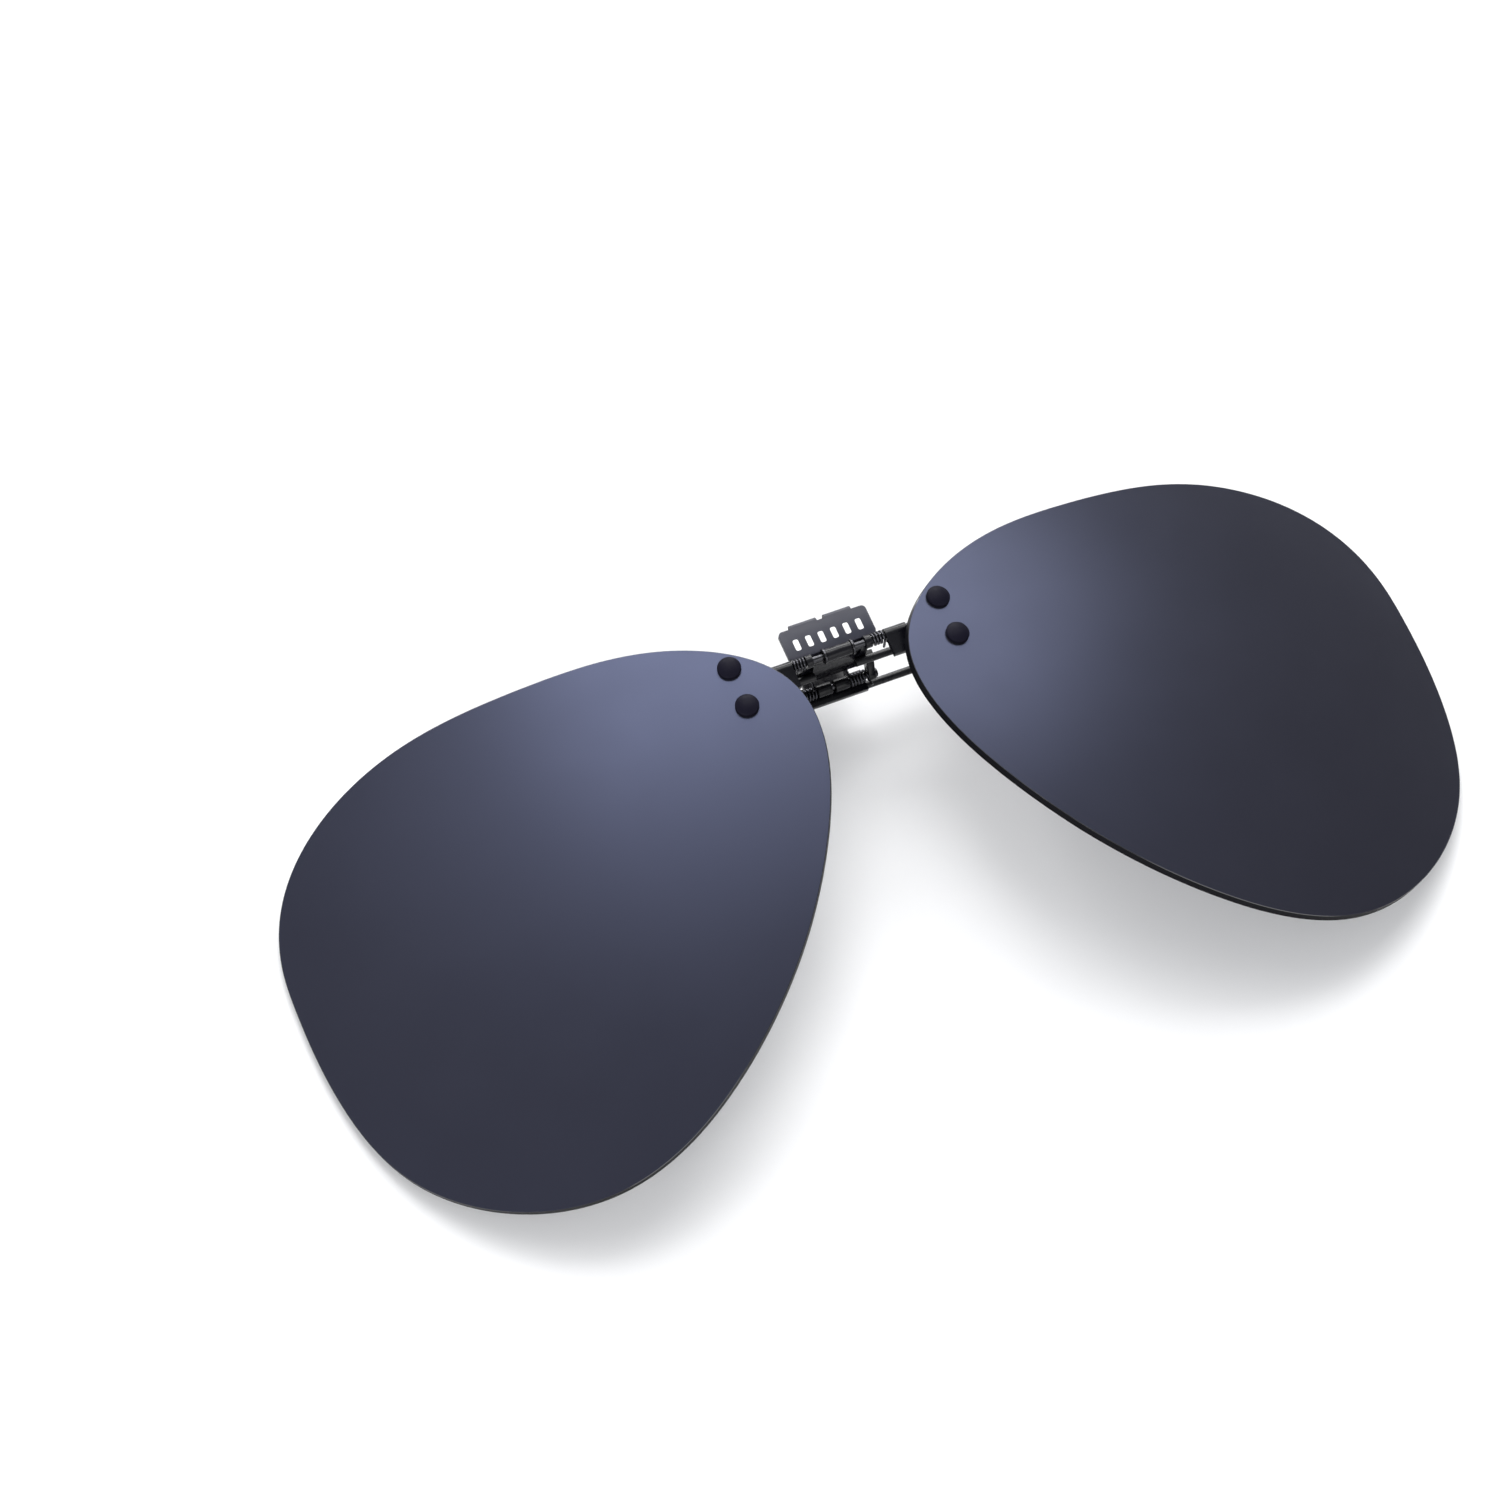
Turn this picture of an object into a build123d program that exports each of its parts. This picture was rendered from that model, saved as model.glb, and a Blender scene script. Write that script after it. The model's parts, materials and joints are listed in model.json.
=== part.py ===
from build123d import *
import os
from math import cos, radians, sin, sqrt

# Flip-up clip-on sunglasses, lying on their back on a table.
# +X runs across the face, +Y from the cheek edge to the brow edge, +Z up out of
# the front of the lenses. The origin is on the table, in the middle of the
# footprint. All lengths are millimetres and all angles are degrees.

# ---- driving dimensions: lenses ----
LENS_X = 38.85           # lens centre from the middle plane
LENS_Y = 1.95            # lens centre above the middle of the footprint
FACE_Z = 11.39           # height of the lens centre's front face
WRAP = 16                # how far each lens turns back towards the temple
BASE_R = 175             # radius of the lens's front face
LENS_T = 1.1             # lens thickness
BEVEL = 0.18             # polished edge bevel
# Teardrop outline about the lens centre: +u to the temple, +v to the brow.
OUTLINE = [
    (29.0, 5.0), (23.8, 17.4), (9.7, 24.5), (-5.9, 25.1), (-21.0, 22.7), (-32.2, 14.1),
    (-26.5, -7.8), (-19.1, -16.7), (-11.3, -23.1), (5.9, -29.2), (25.4, -17.8), (28.6, -7.0),
]

# ---- driving dimensions: lens fixings ----
SEAT_U = -26.9           # middle of the two fixings, in outline coordinates
SEAT_V = 15.25
FIXING_PITCH = 4.8
CAP_R = 1.28
CAP_H = 0.72
SLEEVE_R = 0.75          # cap sleeve that lines the lens hole
STUD_R = 0.42            # bracket stud inside the sleeve
FIT = 0.03               # gap between pieces that are fixed to each other
RUN = 0.05               # radial running clearance on the two hinge pins

# ---- driving dimensions: mechanism ----
SHEET = 0.7              # thickness of the stamped sheet
PIN_R = 0.35
KNUCKLE_R = 0.72
FLIP_Y = LENS_Y + 16.1   # axis the lenses flip up about
FLIP_Z = FACE_Z + 3.0
CLAMP_Y = LENS_Y + 15.2  # axis the rear jaw turns about
CLAMP_Z = FACE_Z - 4.1
WIRE_R = 0.45            # prong wire
GRIP_R = 1.1             # rubber sleeve on a prong
PRONG_X = 12.8           # prong leg from the middle plane
SPRING_WIRE_R = 0.14
SPRING_R = 0.6           # mean coil radius
HEAD_T = 0.35            # peened heads of the pins
HEAD_R = 0.55

# ---- worked out ----
PLATE_Y = FLIP_Y                       # cheek side of the base plate
PLATE_TOP_Y = PLATE_Y + SHEET
LENS_PLANE = Plane(
    origin=(LENS_X, LENS_Y, FACE_Z),
    x_dir=(cos(radians(WRAP)), 0, -sin(radians(WRAP))),
    z_dir=(sin(radians(WRAP)), 0, cos(radians(WRAP))),
)
SEAT_DROP = BASE_R - sqrt(BASE_R**2 - SEAT_U**2 - SEAT_V**2)
SEAT_POINT = LENS_PLANE.from_local_coords(Vector(SEAT_U, SEAT_V, -SEAT_DROP))
SEAT_NORMAL = (SEAT_POINT - LENS_PLANE.from_local_coords(Vector(0, 0, -BASE_R))).normalized()
SEAT = Plane(origin=SEAT_POINT, x_dir=Vector(0, 1, 0).cross(SEAT_NORMAL), z_dir=SEAT_NORMAL)
DOME_R = (CAP_R**2 + (CAP_H / 2) ** 2) / CAP_H
FIXINGS = [(0, -FIXING_PITCH / 2), (0, FIXING_PITCH / 2)]

os.makedirs("parts", exist_ok=True)
pieces = {}


def twin(name, source):
    """The left-hand piece of a pair, mirrored from the right-hand one."""
    with BuildPart() as piece:
        mirror(source.part, about=Plane.YZ)
    pieces["left_" + name] = piece
    pieces["right_" + name] = source


def across(y, z, x):
    """Sketch plane square to the X axis, centred on (y, z)."""
    return Plane(origin=(x, y, z), x_dir=(0, 1, 0), z_dir=(1, 0, 0))


# ---- lenses ----
with BuildPart(LENS_PLANE) as lens:
    with BuildSketch(LENS_PLANE.offset(-BASE_R / 8)):
        with BuildLine():
            Spline(*OUTLINE, periodic=True)
        make_face()
    extrude(amount=BASE_R / 6)
    with Locations((0, 0, -BASE_R)):
        Sphere(BASE_R, rotation=(90, 0, 0), mode=Mode.INTERSECT)
        Sphere(BASE_R - LENS_T, rotation=(90, 0, 0), mode=Mode.SUBTRACT)
    chamfer(lens.edges(), BEVEL)
    with BuildSketch(SEAT.offset(LENS_T)):
        with Locations(*FIXINGS):
            Circle(SLEEVE_R + FIT)
    extrude(amount=-3 * LENS_T, mode=Mode.SUBTRACT)
twin("lens", lens)

# ---- caps: domed head on the lens, sleeve through it ----
for place, spot in zip(("lower", "upper"), FIXINGS):
    cap_plane = Plane(SEAT.from_local_coords(Vector(*spot, FIT)), SEAT.x_dir, SEAT.z_dir)
    with BuildPart(cap_plane) as cap:
        with BuildSketch(Plane(cap_plane.origin, cap_plane.x_dir, -cap_plane.y_dir)):
            with BuildLine():
                Polyline(
                    (0, CAP_H),
                    (0, CAP_H / 2),
                    (STUD_R + FIT, CAP_H / 2),
                    (STUD_R + FIT, -LENS_T),
                    (SLEEVE_R, -LENS_T),
                    (SLEEVE_R, 0),
                    (CAP_R, 0),
                    (CAP_R, CAP_H / 2),
                )
                RadiusArc((CAP_R, CAP_H / 2), (0, CAP_H), -DOME_R)
            make_face()
        revolve(axis=Axis(cap_plane.origin, cap_plane.z_dir))
    twin(place + "_cap", cap)

# ---- lens brackets: seat plate with two studs, arm and knuckle on the flip pin ----
SEAT_GAP = 0.12          # plate to the hollow back of the lens
SEAT_W = 3.6
SEAT_H = 7.8
ARM_IN = 5.45            # inner end of the arm and its knuckle
ARM_OUT = 11.5
KNUCKLE_OUT = 8.0
ARM_LOW = 2.6            # arm's lower edge below the flip axis
ARM_FLARE = 0.85         # how much the arm widens each way to meet the seat
ARM_DROP = 0.1           # keeps the arm clear of the back of the lens
STUD_TOP = 0.24          # stud end above the lens face, inside the cap
with BuildPart() as bracket:
    with BuildSketch(SEAT.offset(-LENS_T - SEAT_GAP)):
        SlotOverall(SEAT_H, SEAT_W, rotation=90)
    extrude(amount=-SHEET)
    with BuildSketch(Plane.XY.offset(FLIP_Z - ARM_DROP)):
        with BuildLine():
            Polyline(
                (ARM_IN, FLIP_Y),
                (ARM_IN, FLIP_Y - ARM_LOW),
                (KNUCKLE_OUT, FLIP_Y - ARM_LOW),
                (ARM_OUT, FLIP_Y - ARM_LOW - ARM_FLARE),
                (ARM_OUT, FLIP_Y + ARM_FLARE),
                (KNUCKLE_OUT, FLIP_Y),
                close=True,
            )
        make_face()
    extrude(amount=SHEET)
    with BuildSketch(across(FLIP_Y, FLIP_Z, ARM_IN)):
        Circle(KNUCKLE_R)
    extrude(amount=KNUCKLE_OUT - ARM_IN)
    with BuildSketch(SEAT.offset(-LENS_T - SEAT_GAP)):
        with Locations(*FIXINGS):
            Circle(STUD_R)
    extrude(amount=LENS_T + SEAT_GAP + STUD_TOP)
    with BuildSketch(across(FLIP_Y, FLIP_Z, ARM_IN)):
        Circle(PIN_R + FIT)
    extrude(amount=ARM_OUT, mode=Mode.SUBTRACT)
    with BuildSketch(across(FLIP_Y, FLIP_Z, KNUCKLE_OUT)):
        Circle(HEAD_R + FIT)
    extrude(amount=HEAD_T + 2 * FIT, mode=Mode.SUBTRACT)
twin("lens_bracket", bracket)

# ---- flip pin, peened over at both ends ----
with BuildPart() as flip_pin:
    with BuildSketch(across(FLIP_Y, FLIP_Z, -KNUCKLE_OUT - FIT)):
        Circle(PIN_R)
    extrude(amount=2 * (KNUCKLE_OUT + FIT))
    for end in (-1, 1):
        with BuildSketch(across(FLIP_Y, FLIP_Z, end * (KNUCKLE_OUT + FIT))):
            Circle(HEAD_R)
        extrude(amount=end * HEAD_T)
    chamfer(flip_pin.faces().sort_by(Axis.X)[0].edges(), HEAD_T / 3)
    chamfer(flip_pin.faces().sort_by(Axis.X)[-1].edges(), HEAD_T / 3)
pieces["flip_pin"] = flip_pin

# ---- base plate: barrel and ears on the flip pin, ears on the clamp pin ----
PLATE_W = 7.6
BARREL_W = 2.9
EAR_IN = 3.1
EAR_T = 0.7
CLAMP_EAR_IN = 4.15
CLAMP_EAR_T = 0.75
PLATE_FRONT_Z = FACE_Z + 1.9
PLATE_REAR_Z = FACE_Z - 3.0
FLANGE_H = 2.6           # front flange that backs the front tab
NECK = 1.6               # web from a flip knuckle back to the plate
HEM = 1.8                # wider rear edge that carries the clamp ears
EAR_ROOT = 1.4           # height of a clamp ear where it leaves the plate
RELIEF_L = 1.4           # slots beside the flip ears, where the sheet folds
RELIEF_W = 0.4
RELIEF_X = 2.75
with BuildPart() as base_plate:
    with BuildSketch(Plane.XZ.offset(-PLATE_Y)):
        with Locations((0, (PLATE_FRONT_Z + PLATE_REAR_Z) / 2)):
            Rectangle(PLATE_W, PLATE_FRONT_Z - PLATE_REAR_Z)
        with Locations((0, PLATE_REAR_Z + HEM / 2)):
            Rectangle(2 * (CLAMP_EAR_IN + CLAMP_EAR_T), HEM)
    extrude(amount=-SHEET)
    with BuildSketch(across(FLIP_Y, FLIP_Z, -BARREL_W / 2)):
        Circle(KNUCKLE_R)
        with Locations((KNUCKLE_R / 2, -NECK / 2)):
            Rectangle(KNUCKLE_R, NECK)
    extrude(amount=BARREL_W)
    for side in (-1, 1):
        with BuildSketch(across(FLIP_Y, FLIP_Z, side * EAR_IN)):
            Circle(KNUCKLE_R)
            with Locations((KNUCKLE_R / 2, -NECK / 2)):
                Rectangle(KNUCKLE_R, NECK)
        extrude(amount=side * EAR_T)
        with BuildSketch(across(CLAMP_Y, CLAMP_Z, side * CLAMP_EAR_IN)):
            Circle(KNUCKLE_R)
            with BuildLine():
                Polyline(
                    (-KNUCKLE_R, 0),
                    (KNUCKLE_R, 0),
                    (PLATE_TOP_Y - CLAMP_Y, PLATE_REAR_Z - CLAMP_Z),
                    (PLATE_TOP_Y - CLAMP_Y, PLATE_REAR_Z - CLAMP_Z + EAR_ROOT),
                    (PLATE_Y - CLAMP_Y, PLATE_REAR_Z - CLAMP_Z + EAR_ROOT),
                    close=True,
                )
            make_face()
        extrude(amount=side * CLAMP_EAR_T)
    with BuildSketch(Plane.XY.offset(PLATE_FRONT_Z - SHEET)):
        with Locations((0, PLATE_Y + FLANGE_H / 2)):
            Rectangle(PLATE_W, FLANGE_H)
    extrude(amount=SHEET)
    with BuildSketch(across(FLIP_Y, FLIP_Z, -PLATE_W)):
        Circle(PIN_R + RUN)
    extrude(amount=2 * PLATE_W, mode=Mode.SUBTRACT)
    with BuildSketch(across(CLAMP_Y, CLAMP_Z, -PLATE_W)):
        Circle(PIN_R + FIT)
    extrude(amount=2 * PLATE_W, mode=Mode.SUBTRACT)
    with BuildSketch(Plane.XZ.offset(-PLATE_Y)):
        with Locations((-RELIEF_X, FLIP_Z - NECK - RELIEF_L / 2), (RELIEF_X, FLIP_Z - NECK - RELIEF_L / 2)):
            SlotOverall(RELIEF_L, RELIEF_W, rotation=90)
    extrude(amount=-SHEET, mode=Mode.SUBTRACT)
pieces["base_plate"] = base_plate

# ---- front tab: thin plate on the flange, with two rolled finger edges ----
TAB_W = 10.2
TAB_T = 0.55
TAB_LOW = FLIP_Y + KNUCKLE_R + 0.15
TAB_HIGH = LENS_Y + 20.5
TAB_Z = PLATE_FRONT_Z + FIT
TAB_CORNER = 0.5
CURL_R = 0.55
CURL_IN = 0.45
CURL_L = 3.1
with BuildPart() as front_tab:
    with BuildSketch(Plane.XY.offset(TAB_Z)):
        with Locations((0, (TAB_LOW + TAB_HIGH) / 2)):
            RectangleRounded(TAB_W, TAB_HIGH - TAB_LOW, TAB_CORNER)
    extrude(amount=TAB_T)
    for side in (-1, 1):
        with BuildSketch(across(TAB_HIGH, TAB_Z + TAB_T - CURL_R, side * CURL_IN)):
            Circle(CURL_R)
        extrude(amount=side * CURL_L)
    with BuildSketch(across(TAB_HIGH, TAB_Z + TAB_T - CURL_R, -TAB_W)):
        Circle(CURL_R / 2)
    extrude(amount=2 * TAB_W, mode=Mode.SUBTRACT)
pieces["front_tab"] = front_tab

# ---- friction washers between the barrel and the bare pin ----
WASHER_R = KNUCKLE_R + 0.12
WASHER_T = 0.25
with BuildPart() as washer:
    with BuildSketch(across(FLIP_Y, FLIP_Z, BARREL_W / 2 + RUN)):
        Circle(WASHER_R)
        Circle(PIN_R + RUN, mode=Mode.SUBTRACT)
    extrude(amount=WASHER_T)
twin("flip_washer", washer)

# ---- clamp pin ----
CLAMP_PIN_END = CLAMP_EAR_IN + CLAMP_EAR_T + FIT
with BuildPart() as clamp_pin:
    with BuildSketch(across(CLAMP_Y, CLAMP_Z, -CLAMP_PIN_END)):
        Circle(PIN_R)
    extrude(amount=2 * CLAMP_PIN_END)
    for end in (-1, 1):
        with BuildSketch(across(CLAMP_Y, CLAMP_Z, end * CLAMP_PIN_END)):
            Circle(HEAD_R)
        extrude(amount=end * HEAD_T)
    chamfer(clamp_pin.faces().sort_by(Axis.X)[0].edges(), HEAD_T / 3)
    chamfer(clamp_pin.faces().sort_by(Axis.X)[-1].edges(), HEAD_T / 3)
pieces["clamp_pin"] = clamp_pin

# ---- rear lever: knuckles on the clamp pin, finger tab behind the front tab ----
LEVER_Z = FACE_Z - 4.95  # upper face of the lever, seen from the front
LEVER_LOW = LENS_Y + 14.0
LEVER_WAIST = LENS_Y + 16.4
LEVER_HIGH = LENS_Y + 20.2
LEVER_W = 8.0
FINGER_W = 5.4
LEVER_KNUCKLE_IN = 0.2
LEVER_KNUCKLE_L = 1.65
LEVER_WEB_Z = CLAMP_Z - LEVER_Z + 0.2  # web from a lever knuckle down into the sheet
with BuildPart() as rear_lever:
    with BuildSketch(Plane.XY.offset(LEVER_Z)):
        with Locations((0, (LEVER_LOW + LEVER_WAIST) / 2)):
            Rectangle(LEVER_W, LEVER_WAIST - LEVER_LOW)
        with Locations((0, (LEVER_LOW + LEVER_HIGH) / 2)):
            Rectangle(FINGER_W, LEVER_HIGH - LEVER_LOW)
    extrude(amount=-SHEET)
    for side in (-1, 1):
        with BuildSketch(across(CLAMP_Y, CLAMP_Z, side * LEVER_KNUCKLE_IN)):
            Circle(KNUCKLE_R)
            with Locations((KNUCKLE_R - SHEET / 4, -LEVER_WEB_Z / 2)):
                Rectangle(SHEET / 2, LEVER_WEB_Z)
        extrude(amount=side * LEVER_KNUCKLE_L)
    with BuildSketch(across(LEVER_HIGH, LEVER_Z - SHEET / 2, -FINGER_W / 2)):
        Circle(CURL_R)
    extrude(amount=FINGER_W)
    with BuildSketch(across(CLAMP_Y, CLAMP_Z, -LEVER_W)):
        Circle(PIN_R + RUN)
    extrude(amount=2 * LEVER_W, mode=Mode.SUBTRACT)
pieces["rear_lever"] = rear_lever

# ---- prongs: wire run outwards, bent towards the cheek, with rubber grips ----
BEND_R = 1.6
PRONG_TIP_Y = LENS_Y + 4.6
GRIP_LENGTH = 8.6
GRIP_CAP = 1.2           # solid rubber beyond the end of the wire
GRIP_EDGE = 0.25
FRONT_ROOT_X = 2.4       # where each wire is welded to its sheet
REAR_ROOT_X = 2.9
FRONT_Y = PLATE_Y - WIRE_R - FIT
FRONT_Z = FACE_Z - 0.6
REAR_Y = LENS_Y + 14.9
REAR_Z = LEVER_Z - SHEET - WIRE_R - FIT
REAR_TIP_Z = FACE_Z - 3.5
for name, root_x, root_y, root_z, tip_z in (
    ("front", FRONT_ROOT_X, FRONT_Y, FRONT_Z, FRONT_Z),
    ("rear", REAR_ROOT_X, REAR_Y, REAR_Z, REAR_TIP_Z),
):
    corner = Vector(PRONG_X, root_y, root_z)
    tip = Vector(PRONG_X, PRONG_TIP_Y, tip_z)
    leg = (tip - corner).normalized()
    with BuildPart() as prong:
        with BuildLine():
            FilletPolyline((root_x, root_y, root_z), corner, tip, radius=BEND_R)
        with BuildSketch(Plane(origin=(root_x, root_y, root_z), z_dir=(1, 0, 0))):
            Circle(WIRE_R)
        sweep()
    twin(name + "_prong", prong)
    grip_base = Plane(origin=tip + leg * GRIP_CAP, x_dir=(1, 0, 0), z_dir=-leg)
    with BuildPart() as grip:
        with BuildSketch(grip_base):
            Circle(GRIP_R)
        extrude(amount=GRIP_LENGTH)
        fillet(grip.faces().sort_by(Axis.Y)[0].edges(), GRIP_R * 0.9)
        fillet(grip.faces().sort_by(Axis.Y)[-1].edges(), GRIP_EDGE)
        with BuildSketch(grip_base.offset(GRIP_CAP - FIT)):
            Circle(WIRE_R + FIT)
        extrude(amount=GRIP_LENGTH, mode=Mode.SUBTRACT)
    twin(name + "_grip", grip)

# ---- torsion springs on both pins: a coil and two tangent legs ----
FLIP_COIL_X = EAR_IN + EAR_T + 0.2
FLIP_COIL_L = 1.25
FLIP_TURNS = 3.5
CLAMP_COIL_X = LEVER_KNUCKLE_IN + LEVER_KNUCKLE_L + 0.25
CLAMP_COIL_L = 1.8
CLAMP_TURNS = 5
LEG_L = 1.5
LEGS_BACK = -90          # turns the flip spring's legs back along the base plate
LEGS_UP = 0              # leaves the clamp spring's legs between lever and plate
for name, y, z, start, length, turns, turn in (
    ("flip_spring", FLIP_Y, FLIP_Z, FLIP_COIL_X, FLIP_COIL_L, FLIP_TURNS, LEGS_BACK),
    ("clamp_spring", CLAMP_Y, CLAMP_Z, CLAMP_COIL_X, CLAMP_COIL_L, CLAMP_TURNS, LEGS_UP),
):
    with BuildPart(mode=Mode.PRIVATE) as wound:
        with BuildLine():
            coil = Helix(length / turns, length, SPRING_R, center=(start, y, z), direction=(1, 0, 0))
            leg_start = coil @ 0 - LEG_L * (coil % 0)
            Line(leg_start, coil @ 0)
            Line(coil @ 1, coil @ 1 + LEG_L * (coil % 1))
        with BuildSketch(Plane(origin=leg_start, z_dir=coil % 0)):
            Circle(SPRING_WIRE_R)
        sweep(is_frenet=True)
    with BuildPart() as spring:
        add(wound.part.rotate(Axis((0, y, z), (1, 0, 0)), turn))
    twin(name, spring)

for name, piece in pieces.items():
    piece.part.label = name
    export_step(piece.part, f"parts/{name}.step")
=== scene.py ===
import bmesh
import bpy
import json
import numpy as np
from math import cos, pi, radians, sin
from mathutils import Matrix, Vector

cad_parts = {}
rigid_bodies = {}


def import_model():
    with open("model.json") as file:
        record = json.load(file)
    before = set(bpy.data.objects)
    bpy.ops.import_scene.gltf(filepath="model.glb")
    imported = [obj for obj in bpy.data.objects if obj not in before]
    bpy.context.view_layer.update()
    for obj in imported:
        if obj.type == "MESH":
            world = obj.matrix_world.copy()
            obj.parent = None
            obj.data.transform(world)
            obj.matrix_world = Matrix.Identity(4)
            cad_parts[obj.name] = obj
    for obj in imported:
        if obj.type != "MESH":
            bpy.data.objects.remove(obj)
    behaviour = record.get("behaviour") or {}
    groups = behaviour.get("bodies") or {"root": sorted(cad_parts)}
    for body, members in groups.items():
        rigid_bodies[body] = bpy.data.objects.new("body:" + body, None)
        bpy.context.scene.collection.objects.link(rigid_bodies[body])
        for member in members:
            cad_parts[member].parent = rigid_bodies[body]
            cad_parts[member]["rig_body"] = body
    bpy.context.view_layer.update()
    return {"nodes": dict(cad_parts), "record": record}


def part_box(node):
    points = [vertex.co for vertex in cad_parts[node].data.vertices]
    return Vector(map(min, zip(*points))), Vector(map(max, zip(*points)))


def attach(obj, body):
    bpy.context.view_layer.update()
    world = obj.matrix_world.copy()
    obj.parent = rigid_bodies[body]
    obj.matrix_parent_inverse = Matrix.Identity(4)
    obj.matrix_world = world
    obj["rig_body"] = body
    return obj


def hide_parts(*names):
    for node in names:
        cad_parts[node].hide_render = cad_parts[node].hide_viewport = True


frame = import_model()

MM = 0.001
SIDES = ("left", "right")
PLACES = ("upper", "lower")      # the two caps of a lens


# ---------------------------------------------------------------- mesh helpers
def link(name, data):
    """A new object in the scene, for a mesh, light or camera."""
    thing = bpy.data.objects.new(name, data)
    bpy.context.scene.collection.objects.link(thing)
    return thing


def mesh_from(name, bm, sharp_angle=30):
    """A smooth-shaded mesh whose edges over sharp_angle stay crisp."""
    bmesh.ops.recalc_face_normals(bm, faces=bm.faces)
    mesh = bpy.data.meshes.new(name)
    bm.to_mesh(mesh)
    bm.free()
    mesh.polygons.foreach_set("use_smooth", [True] * len(mesh.polygons))
    mesh.set_sharp_from_angle(angle=radians(sharp_angle))
    return mesh


def cad_bmesh(name):
    """A welded editable copy of a CAD node's mesh."""
    bm = bmesh.new()
    bm.from_mesh(frame["nodes"][name].data)
    bmesh.ops.remove_doubles(bm, verts=bm.verts, dist=0.0005 * MM)
    bm.normal_update()
    return bm


def eased_mesh(name, width, segments=3, sharp=32):
    """A stamped or turned CAD node's mesh with its sharp edges rolled over."""
    bm = cad_bmesh(name)
    bmesh.ops.dissolve_limit(bm, angle_limit=radians(1), verts=bm.verts, edges=bm.edges)
    edges = [e for e in bm.edges if len(e.link_faces) == 2 and e.calc_face_angle(0) > radians(sharp)]
    bmesh.ops.bevel(
        bm, geom=edges, offset=width, segments=segments, profile=0.5, affect="EDGES", clamp_overlap=True
    )
    return mesh_from(name + "_eased", bm, sharp_angle=50)


def ring_faces(bm, near, far):
    """Faces between two rings of vertices, either of which may be a single point."""
    made = []
    around = max(len(near), len(far))
    for k in range(around):
        ahead = (k + 1) % around
        corners = (near[k % len(near)], near[ahead % len(near)], far[ahead % len(far)], far[k % len(far)])
        made.append(bm.faces.new(dict.fromkeys(corners)))
    return made


def turned_mesh(name, base, axis, profile, around):
    """A solid of revolution about an axis, from a list of (radius, height) off its base."""
    axis = np.array(axis)
    across = np.array(Vector(axis).orthogonal().normalized())
    along = np.cross(axis, across)
    turn = np.arange(around) * 2 * pi / around
    circle = np.outer(np.cos(turn), across) + np.outer(np.sin(turn), along)
    bm = bmesh.new()
    rings = []
    for radius, height in profile:
        spots = base + axis * height + radius * circle
        rings.append([bm.verts.new(spot) for spot in (spots if radius else spots[:1])])
    for near, far in zip(rings, rings[1:]):
        ring_faces(bm, near, far)
    return mesh_from(name, bm, sharp_angle=40)


# ---------------------------------------------------------------- lenses
AROUND = 288                                 # points around a lens
RIM_SHARES = (1.0, 0.9985, 0.994)            # rings near the rim, as shares of its radius
SEAT_SHARES = np.linspace(0.985, 0.80, 16)   # close rings where the holes are drilled
MIDDLE_SHARES = np.linspace(0.76, 0.04, 17)
HARMONICS = 40           # waves kept in an outline, enough to lose the CAD facets
HOLE_R = 0.78 * MM       # drilled for the cap's sleeve
HOLE_AROUND = 48
DRILL_LENGTH = 8 * MM    # long enough to pass right through the lens
ARRIS = 0.055 * MM       # polished corner round the front face
SHY = 0.05 * MM          # keeps that crisper corner inside the CAD lens's size
FACING = 0.93            # least cosine to the lens axis of a CAD triangle on a front or back face
WALLING = 0.3            # greatest cosine to it of one on the edge wall
LENS_SHARP = 25          # degrees
COAT, EDGE, SHINE = 0, 1, 2        # material places on a lens


def region_loop(faces):
    """The longest boundary loop of a set of faces, as an array of points."""
    inside = set(faces)
    border = [e for f in faces for e in f.edges if sum(g in inside for g in e.link_faces) == 1]
    links = {}
    for edge in border:
        one, other = edge.verts
        links.setdefault(one, []).append(other)
        links.setdefault(other, []).append(one)
    unused = dict(links)
    loops = []
    while unused:
        loop = []
        ahead = [next(iter(unused))]
        while ahead:
            loop.append(ahead[0])
            del unused[ahead[0]]
            ahead = [v for v in links[ahead[0]] if v in unused]
        loops.append(np.array([v.co for v in loop]))
    return max(loops, key=lambda loop: np.linalg.norm(loop - np.roll(loop, 1, axis=0), axis=1).sum())


def sphere_through(points):
    """Centre and radius of the sphere that best fits the points."""
    rows = np.c_[2 * points, np.ones(len(points))]
    fit = np.linalg.lstsq(rows, (points**2).sum(1), rcond=None)[0]
    return fit[:3], float(np.sqrt(fit[3] + (fit[:3] ** 2).sum()))


class LensFrame:
    """Polar coordinates about a lens's own axis."""

    def __init__(self, axis, middle):
        self.axis = np.array(axis)
        self.middle = middle
        self.across = np.cross((0, 1, 0), self.axis)
        self.across /= np.linalg.norm(self.across)
        self.along = np.cross(self.axis, self.across)
        self.turn = np.arange(AROUND) * 2 * pi / AROUND

    def radius(self, loop):
        """A loop's radius at even angles, as a smooth wave without the facets."""
        flat = loop - self.middle
        u, v = flat @ self.across, flat @ self.along
        angle = np.arctan2(v, u) % (2 * pi)
        order = np.argsort(angle)
        waves = np.fft.rfft(np.interp(self.turn, angle[order], np.hypot(u, v)[order], period=2 * pi))
        waves[HARMONICS:] = 0
        return np.fft.irfft(waves, AROUND)

    def points(self, radius, height):
        """Points at a radius and a height for each angle."""
        u, v = radius * np.cos(self.turn), radius * np.sin(self.turn)
        flat = np.outer(u, self.across) + np.outer(v, self.along)
        return self.middle + flat + np.outer(height, self.axis)

    def onto_ball(self, flat, centre, ball):
        """Moves points along the lens axis onto a sphere."""
        off = (flat - centre) @ self.axis
        lateral = (flat - centre) - np.outer(off, self.axis)
        return centre + lateral + np.outer(np.sqrt(ball**2 - (lateral**2).sum(1)), self.axis)


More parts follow.
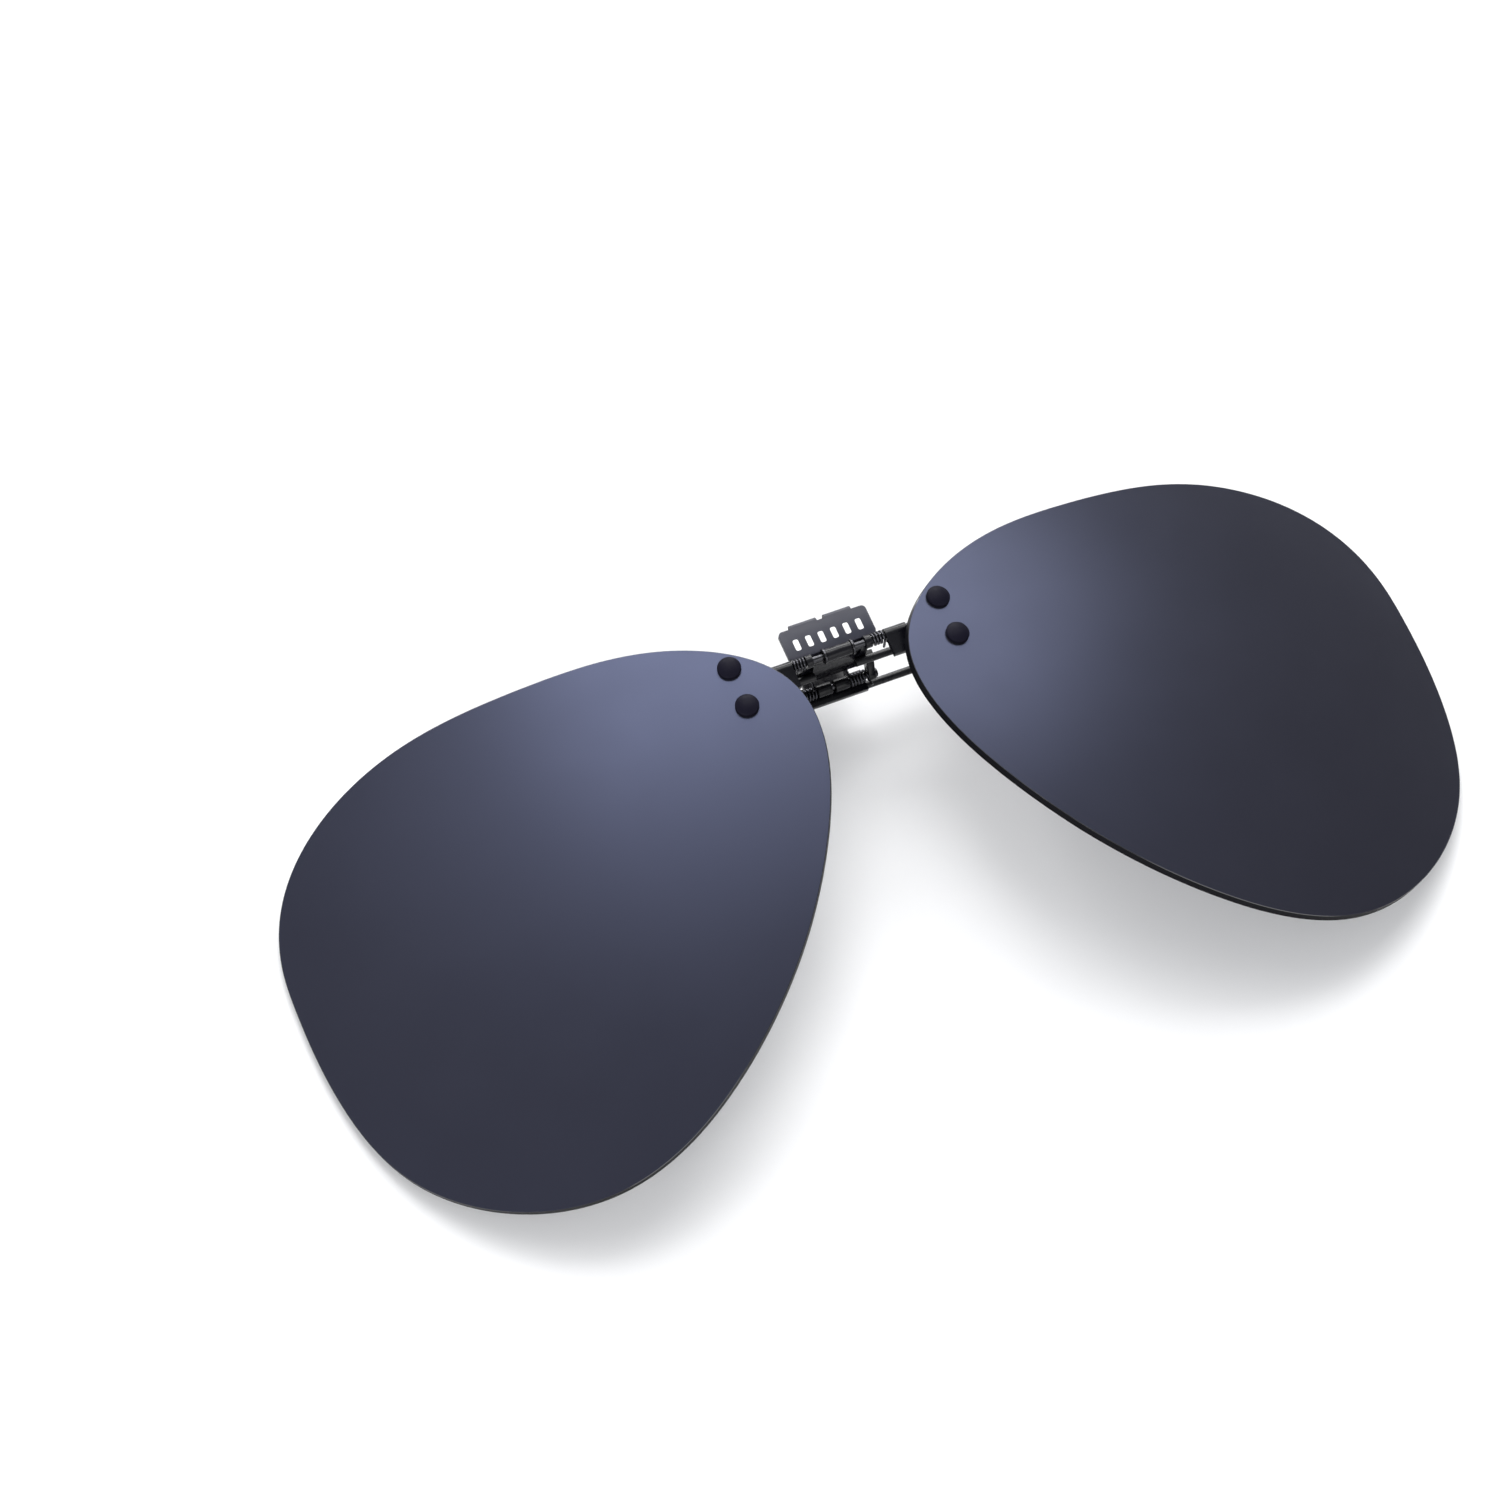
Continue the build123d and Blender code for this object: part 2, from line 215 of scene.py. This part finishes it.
def face_rings(own, faces, radius):
    """Rings on one spherical face from the rim in, the point at its middle, and its centre."""
    centre, ball = sphere_through(np.array([v.co for f in faces for v in f.verts]))
    level = np.zeros(AROUND)
    shares = [*RIM_SHARES, *SEAT_SHARES, *MIDDLE_SHARES]
    rings = [own.onto_ball(own.points(radius * share, level), centre, ball) for share in shares]
    return rings, own.onto_ball(own.middle[None], centre, ball), centre


def lens_mesh(name):
    """A clean lens: ringed front and back spheres, joined by two fine bevels and the ground edge."""
    bm = cad_bmesh(name)
    axis = sum((f.normal * f.calc_area() for f in bm.faces if f.normal.z > 0.5), Vector()).normalized()
    front = [f for f in bm.faces if f.normal.dot(axis) > FACING]
    back = [f for f in bm.faces if f.normal.dot(axis) < -FACING]
    wall = [f for f in bm.faces if abs(f.normal.dot(axis)) < WALLING]
    own = LensFrame(axis, region_loop(front).mean(0))
    outer = own.radius(region_loop(wall)) - SHY
    inner = own.radius(region_loop(back))
    front_rings, front_hub, centre = face_rings(own, front, outer - ARRIS)
    back_rings, back_hub, _ = face_rings(own, back, inner)
    bm.free()

    top = (front_rings[0] - own.middle) @ own.axis - ARRIS
    low = (back_rings[0] - own.middle) @ own.axis + (outer - inner).mean()
    walls = [own.points(outer, top), own.points(outer, low)]
    out = bmesh.new()
    spots = [front_hub, *front_rings[::-1], *walls, *back_rings, back_hub]
    rows = [[out.verts.new(p) for p in row] for row in spots]
    corner = len(front_rings)
    places = {corner: SHINE, corner + 1: EDGE, corner + 2: EDGE}
    for place, (near, far) in enumerate(zip(rows, rows[1:])):
        for face in ring_faces(out, near, far):
            face.material_index = places.get(place, COAT)
    return mesh_from(name + "_blank", out, LENS_SHARP), centre


def drill(blank, side, centre):
    """Two holes square to the front face, where the caps' sleeves go through."""
    ends = [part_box(f"{side}_{place}_cap") for place in PLACES]
    spots = [(low + high) / 2 for low, high in ends]
    axis = ((spots[0] + spots[1]) / 2 - Vector(centre)).normalized()
    turned = axis.to_track_quat("Z", "Y").to_matrix().to_4x4()
    bm = bmesh.new()
    for spot in spots:
        turned.translation = spot
        bmesh.ops.create_cone(
            bm,
            cap_ends=True,
            segments=HOLE_AROUND,
            radius1=HOLE_R,
            radius2=HOLE_R,
            depth=DRILL_LENGTH,
            matrix=turned,
        )
    cutter = link(side + "_drill", mesh_from(side + "_drill", bm))
    hole = blank.modifiers.new("holes", "BOOLEAN")
    hole.object, hole.operation, hole.solver = cutter, "DIFFERENCE", "EXACT"
    bpy.context.view_layer.update()
    graph = bpy.context.evaluated_depsgraph_get()
    drilled = bpy.data.meshes.new_from_object(blank.evaluated_get(graph))
    drilled.set_sharp_from_angle(angle=radians(LENS_SHARP))
    blank.modifiers.clear()
    blank.data = drilled
    bpy.data.objects.remove(cutter)


# ---------------------------------------------------------------- rubber grips
GRIP_AROUND = 40
GRIP_STEPS = 150
TIP_SHARE = 0.9          # length of a grip's round tip, as a share of its radius
MOUTH_EASE = 0.2 * MM    # rolled corner where the wire goes in
GROOVES = 5
GROOVED_SHARE = 0.55     # middle share of a grip's length that has the grooves
GROOVE_DEPTH = 0.13 * MM


def rolled(from_end, size):
    """How far a quarter-round end of the given size draws in, at a distance from that end."""
    return size * (1 - np.sqrt(max(0, 1 - max(0, 1 - from_end / size) ** 2)))


def grip_mesh(name):
    """A moulded sleeve turned about the CAD grip's own axis, with grooves around its middle."""
    points = np.array([v.co for v in frame["nodes"][name].data.vertices])
    mean = points.mean(0)
    turned = np.linalg.svd(points - mean, full_matrices=False)[2]
    if turned[0][1] > 0:
        turned[0] *= -1
    local = (points - mean) @ turned.T
    low, high = local.min(0), local.max(0)
    middle = mean + turned.T @ ((low + high) / 2)
    half = (high - low)[0] / 2
    radius = min((high - low)[1:]) / 2
    grooved = half * GROOVED_SHARE
    profile = [(0, -half)]
    for along in np.linspace(-half, half, GRIP_STEPS):
        size = radius - rolled(half - along, radius * TIP_SHARE) - rolled(half + along, MOUTH_EASE)
        if abs(along) < grooved:
            size -= GROOVE_DEPTH * max(0, sin(along / grooved * GROOVES * pi)) ** 2
        profile.append((size, along))
    profile.append((0, half))
    return turned_mesh(name + "_sleeve", middle, turned[0], profile, GRIP_AROUND)


# ---------------------------------------------------------------- domed caps
CAP_AROUND = 72
DOME_RINGS = 14
EASE_STEPS = 6
CAP_EASE = 0.1 * MM      # rolled corner between a cap's dome and its side
FOOT_EASE = 0.03 * MM    # fine corner where a cap meets the lens
PAST_FOOT = 0.05 * MM    # how far below a cap's foot its sleeve's radius is read
AT_MOUTH = 0.02 * MM     # how near the sleeve's end its bore's radius is read


def turning_axis(bm):
    """The axis of a turned piece, pointing up, and a point on it."""
    spread = sum(np.outer(f.normal, f.normal) * f.calc_area() for f in bm.faces)
    values, ways = np.linalg.eigh(spread)
    axis = ways[:, 2] if values[2] - values[1] > values[1] - values[0] else ways[:, 0]
    area = sum(f.calc_area() for f in bm.faces)
    base = sum((f.calc_center_median() * f.calc_area() for f in bm.faces), Vector()) / area
    return axis * np.sign(axis[2]), np.array(base)


def cap_mesh(name):
    """A cap turned anew: dome, rolled corner, side, sleeve and bore, at the CAD cap's own measures."""
    bm = cad_bmesh(name)
    axis, base = turning_axis(bm)
    off = np.array([v.co for v in bm.verts]) - base
    bm.free()
    height = off @ axis
    radius = np.linalg.norm(off - np.outer(height, axis), axis=1)
    wide = radius.max()
    side = height[radius > wide * 0.98]
    rim, foot, top, bottom = side.max(), side.min(), height.max(), height.min()
    sleeve = radius[height < foot - PAST_FOOT].max()
    bore = radius[height < bottom + AT_MOUTH].min()
    ball = (wide**2 + (top - rim) ** 2) / (2 * (top - rim))
    spread = np.linspace(0, wide - CAP_EASE, DOME_RINGS)
    dome = [(r, top - ball + np.sqrt(ball**2 - r**2)) for r in spread]
    before, corner, after = np.array((dome[-1], (wide, rim), (wide, rim - CAP_EASE)))
    steps = np.linspace(0, 1, EASE_STEPS + 1)[1:]
    turn = [tuple(before * (1 - t) ** 2 + corner * 2 * t * (1 - t) + after * t**2) for t in steps]
    under = [(wide, foot + FOOT_EASE), (wide - FOOT_EASE, foot), (sleeve, foot), (sleeve, bottom)]
    profile = [*dome, *turn, *under, (bore, bottom), (bore, rim), (0, rim)]
    return turned_mesh(name + "_turned", base, axis, profile, CAP_AROUND)


# ---------------------------------------------------------------- material helpers
def node(tree, kind, inputs=None):
    """A new shader node with the given input values."""
    made = tree.nodes.new(kind)
    for key, value in (inputs or {}).items():
        made.inputs[key].default_value = value
    return made


def noise(tree, scale, detail=3, rough=0.5, stretch=(1, 1, 1)):
    """Noise over object coordinates, in cycles per metre."""
    place = node(tree, "ShaderNodeTexCoord")
    mapping = node(tree, "ShaderNodeMapping", {"Scale": stretch})
    texture = node(tree, "ShaderNodeTexNoise", {"Scale": scale, "Detail": detail, "Roughness": rough})
    tree.links.new(place.outputs["Object"], mapping.inputs["Vector"])
    tree.links.new(mapping.outputs["Vector"], texture.inputs["Vector"])
    return texture.outputs["Fac"]


def between(tree, source, low, high, start=0.3, stop=0.7):
    """Maps a value from start to stop onto low to high."""
    ends = {"From Min": start, "From Max": stop, "To Min": low, "To Max": high}
    made = node(tree, "ShaderNodeMapRange", ends)
    tree.links.new(source, made.inputs["Value"])
    return made.outputs["Result"]


def between_colours(tree, source, low, high):
    """Maps the middle of a noise onto two colours."""
    made = node(tree, "ShaderNodeValToRGB")
    for element, place, colour in zip(made.color_ramp.elements, (0.3, 0.7), (low, high)):
        element.position = place
        element.color = (*colour, 1)
    tree.links.new(source, made.inputs["Fac"])
    return made.outputs["Color"]


def bump(tree, shader, source, strength, distance):
    """Raises a shader's surface by a value, by up to a distance in metres."""
    made = node(tree, "ShaderNodeBump", {"Strength": strength, "Distance": distance})
    tree.links.new(source, made.inputs["Height"])
    tree.links.new(made.outputs["Normal"], shader.inputs["Normal"])


def new_material(name, low, high, shade):
    """A material whose colour wanders between two along a noise, given by noise()'s arguments."""
    material = bpy.data.materials.new(name)
    material.use_nodes = True
    tree = material.node_tree
    shader = tree.nodes["Principled BSDF"]
    tree.links.new(between_colours(tree, noise(tree, *shade), low, high), shader.inputs["Base Color"])
    return material, tree, shader


def vary_roughness(tree, shader, low, high, sheen):
    """Lets a shader's roughness wander between two values along a noise of its own."""
    tree.links.new(between(tree, noise(tree, *sheen), low, high), shader.inputs["Roughness"])


# ---------------------------------------------------------------- materials
def lens_coat():
    """Dark polarised lens with a faint lavender mirror coat."""
    low, high = (0.0135, 0.0130, 0.0170), (0.0153, 0.0148, 0.0192)
    material, tree, shader = new_material("tinted_lens_coat", low, high, (45, 3))
    vary_roughness(tree, shader, 0.285, 0.315, (160, 4))
    shader.inputs["IOR"].default_value = 1.5
    shader.inputs["Specular IOR Level"].default_value = 0.62
    shader.inputs["Specular Tint"].default_value = (0.52, 0.60, 1.0, 1)
    return material


def lens_edge():
    """Ground lens edge, nearly black, with fine grinding lines."""
    low, high, lines = (0.003, 0.003, 0.004), (0.006, 0.006, 0.008), (900, 3, 0.6, (1, 1, 6))
    material, tree, shader = new_material("lens_edge_ground", low, high, lines)
    vary_roughness(tree, shader, 0.3, 0.45, lines)
    shader.inputs["Specular IOR Level"].default_value = 0.03
    return material


def lens_corner():
    """Polished corner round the front of a lens, which catches the light."""
    low, high, lines = (0.010, 0.010, 0.012), (0.016, 0.016, 0.019), (300, 3)
    material, tree, shader = new_material("lens_corner_polished", low, high, lines)
    vary_roughness(tree, shader, 0.10, 0.20, lines)
    shader.inputs["Specular IOR Level"].default_value = 0.9
    return material


def painted_metal(name, low, high, rough, level):
    """Sprayed black coat with a fine orange peel and slight wear of its gloss."""
    material, tree, shader = new_material(name, low, high, (500, 4))
    vary_roughness(tree, shader, rough - 0.05, rough + 0.07, (1300, 4))
    bump(tree, shader, noise(tree, 1800, 2), strength=0.15, distance=0.006 * MM)
    shader.inputs["Specular IOR Level"].default_value = level
    return material


def steel(name, low, high, rough):
    """Drawn steel, with fine lines along the wire or pin."""
    lines = (700, 3, 0.6, (1, 14, 14))
    material, tree, shader = new_material(name, low, high, lines)
    vary_roughness(tree, shader, rough - 0.06, rough + 0.08, lines)
    bump(tree, shader, noise(tree, *lines), strength=0.1, distance=0.01 * MM)
    shader.inputs["Metallic"].default_value = 1.0
    return material


def moulded(name, low, high, rough, grain, depth, level):
    """Moulded plastic or rubber with a fine textured skin."""
    material, tree, shader = new_material(name, low, high, (420, 4))
    vary_roughness(tree, shader, rough - 0.05, rough + 0.08, (2100, 3))
    bump(tree, shader, noise(tree, grain, 3, 0.7), strength=0.25, distance=depth)
    shader.inputs["Specular IOR Level"].default_value = level
    return material


def white_print():
    """Slightly worn white ink."""
    low, high = (0.78, 0.78, 0.79), (0.88, 0.88, 0.88)
    material, tree, shader = new_material("white_print", low, high, (3000, 4))
    vary_roughness(tree, shader, 0.45, 0.6, (5000, 2))
    return material


# one look for each of the record's material slots
LOOKS = {
    "tinted_lens": lens_coat(),
    "lens_cap": moulded(
        "lens_cap_moulding",
        (0.006, 0.0055, 0.0115),
        (0.008, 0.0075, 0.014),
        rough=0.42,
        grain=9000,
        depth=0.01 * MM,
        level=0.04,
    ),
    "black_sheet": painted_metal(
        "black_sheet_paint", (0.003, 0.003, 0.005), (0.005, 0.005, 0.007), rough=0.24, level=0.22
    ),
    # the front tab's base colour is lighter than the black sheet's: a painted reflection of the bright
    # surroundings on the tab's face
    "front_tab": painted_metal(
        "front_tab_paint_with_painted_reflection", (0.024, 0.025, 0.038), (0.029, 0.030, 0.044), rough=0.33, level=0.22
    ),
    "pin_steel": steel("pin_steel_blued", (0.035, 0.035, 0.04), (0.065, 0.065, 0.07), rough=0.22),
    "spring_wire": steel("spring_wire_drawn", (0.04, 0.04, 0.045), (0.07, 0.07, 0.08), rough=0.26),
    "prong_wire": painted_metal(
        "prong_wire_paint", (0.008, 0.008, 0.010), (0.013, 0.013, 0.015), rough=0.28, level=0.26
    ),
    "rubber_grip": moulded(
        "rubber_grip_skin",
        (0.010, 0.010, 0.011),
        (0.016, 0.016, 0.018),
        rough=0.62,
        grain=5200,
        depth=0.03 * MM,
        level=0.4,
    ),
}
SLOTS = {part["node"]: part["material_slot"] for part in frame["record"]["subparts"]}


# ---------------------------------------------------------------- the pieces
def stand_in(name, mesh):
    """Puts a new mesh in the place of a CAD node, on that node's body and in its look."""
    piece = link(mesh.name, mesh)
    piece.data.materials.append(LOOKS[SLOTS[name]])
    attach(piece, frame["nodes"][name]["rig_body"])
    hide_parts(name)
    return piece


edge_look, corner_look = lens_edge(), lens_corner()
for side in SIDES:
    lens, centre = lens_mesh(side + "_lens")
    blank = stand_in(side + "_lens", lens)
    blank.data.materials.append(edge_look)
    blank.data.materials.append(corner_look)
    drill(blank, side, centre)
    for end in ("front", "rear"):
        grip = f"{side}_{end}_grip"
        stand_in(grip, grip_mesh(grip))
    for place in PLACES:
        cap = f"{side}_{place}_cap"
        stand_in(cap, cap_mesh(cap))

# CAD node: width in mm of its rolled edges
EASED = {
    "base_plate": 0.07,
    "front_tab": 0.1,
    "rear_lever": 0.08,
    "flip_pin": 0.03,
    "clamp_pin": 0.03,
    **{f"{side}_lens_bracket": 0.06 for side in SIDES},
    **{f"{side}_flip_washer": 0.04 for side in SIDES},
}
for name, width in EASED.items():
    stand_in(name, eased_mesh(name, width * MM))

# the wires and springs keep their CAD meshes and get their own materials
for name, thing in frame["nodes"].items():
    if name.endswith(("_prong", "_spring")):
        for place in range(len(thing.data.materials)):
            thing.data.materials[place] = LOOKS[SLOTS[name]]


TICKS = 6
TICK_PITCH = 1.46 * MM
TICK_SIZE = (0.62 * MM, 1.3 * MM, 0.015 * MM)    # width, height and thickness of the ink
TICK_RISE = 1.55 * MM    # middle of the row above the tab's low edge
TICK_CORNER = 0.2 * MM
TICK_SUNK = 0.002 * MM   # keeps the ink's underside within the tab


def tab_marks():
    """A plain row of white printed ticks across the front tab, in place of any name."""
    low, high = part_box("front_tab")
    level = high.z + TICK_SIZE[2] / 2 - TICK_SUNK
    bm = bmesh.new()
    for k in range(TICKS):
        across = (k - (TICKS - 1) / 2) * TICK_PITCH
        tick = bmesh.ops.create_cube(bm, size=1)["verts"]
        bmesh.ops.scale(bm, verts=tick, vec=TICK_SIZE)
        bmesh.ops.translate(bm, verts=tick, vec=(across, low.y + TICK_RISE, level))
    corners = [e for e in bm.edges if abs((e.verts[0].co - e.verts[1].co).normalized().z) > 0.9]
    bmesh.ops.bevel(bm, geom=corners, offset=TICK_CORNER, segments=4, profile=0.5, affect="EDGES")
    piece = link("tab_marks", mesh_from("tab_marks", bm))
    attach(piece, "clamp_base")
    piece.data.materials.append(white_print())


tab_marks()


# ---------------------------------------------------------------- floor, light and camera
FLOOR_SIZE = 6           # metres
CAMERA_AT = (-0.13406, -0.14247, 0.42912)
CAMERA_TURN = (24.306, -6.831, -23.454)          # degrees
CAMERA_LENS = 104.9      # millimetres
CAMERA_SENSOR = 36       # millimetres
PAPER = (0.86, 0.86, 0.865), (0.89, 0.89, 0.895)


def floor():
    """A wide sheet of matt pale paper."""
    bpy.ops.mesh.primitive_plane_add(size=FLOOR_SIZE)
    plane = bpy.context.object
    plane.name = "studio_floor"
    material, _, shader = new_material("studio_floor_paper", *PAPER, (40, 4))
    shader.inputs["Roughness"].default_value = 0.9
    shader.inputs["Specular IOR Level"].default_value = 0.1
    plane.data.materials.append(material)


def softbox(name, direction, distance, width, height, power):
    """A rectangular area light aimed at the object's middle, in metres and watts."""
    lamp = bpy.data.lights.new(name, "AREA")
    lamp.shape = "RECTANGLE"
    lamp.size = width
    lamp.size_y = height
    lamp.energy = power
    thing = link(name, lamp)
    toward = Vector(direction).normalized()
    thing.location = toward * distance
    thing.rotation_euler = toward.to_track_quat("Z", "Y").to_euler()


def studio_lights():
    """A bank of boxes whose blurred reflection lights the lenses near the bridge, and soft fills."""
    # name, direction, then distance, width, height and power
    softbox("bridge_softbox", (0.24, 0.62, 0.77), 0.9, 0.82, 0.36, 3.3)
    softbox("bridge_left", (0.0, 0.60, 0.80), 0.9, 0.40, 0.36, 1.4)
    softbox("bridge_right", (0.50, 0.52, 0.68), 0.9, 0.40, 0.36, 0.95)
    softbox("brow_softbox", (-0.30, 0.50, 0.80), 0.9, 0.40, 0.40, 0.4)
    softbox("top_softbox", (-0.02, 0.40, 0.92), 1.0, 0.50, 0.40, 1.2)
    softbox("rim_light", (0.26, 0.90, 0.30), 1.2, 0.9, 0.40, 12.0)
    softbox("left_fill", (-0.75, -0.55, 0.45), 1.4, 1.0, 1.0, 12.0)
    softbox("right_fill", (0.2, -0.95, 0.5), 1.4, 1.0, 1.0, 4.5)


def studio_walls():
    """Pale walls all round, dimmer towards the right."""
    world = bpy.data.worlds.new("studio_walls")
    bpy.context.scene.world = world
    world.use_nodes = True
    tree = world.node_tree
    place = node(tree, "ShaderNodeTexCoord")
    parts = node(tree, "ShaderNodeSeparateXYZ")
    tree.links.new(place.outputs["Generated"], parts.inputs["Vector"])
    background = tree.nodes["Background"]
    background.inputs["Color"].default_value = (0.95, 0.97, 1.0, 1)
    strength = between(tree, parts.outputs["X"], low=0.49, high=0.21, start=0.35, stop=0.95)
    tree.links.new(strength, background.inputs["Strength"])


def camera():
    """A long lens looking down on the object from the lower left."""
    view = bpy.data.cameras.new("camera")
    view.lens = CAMERA_LENS
    view.sensor_width = CAMERA_SENSOR
    view.clip_start = 0.01
    thing = link("camera", view)
    thing.location = CAMERA_AT
    thing.rotation_euler = [radians(turn) for turn in CAMERA_TURN]
    bpy.context.scene.camera = thing


floor()
studio_lights()
studio_walls()
camera()
bpy.context.scene.view_settings.view_transform = "Standard"
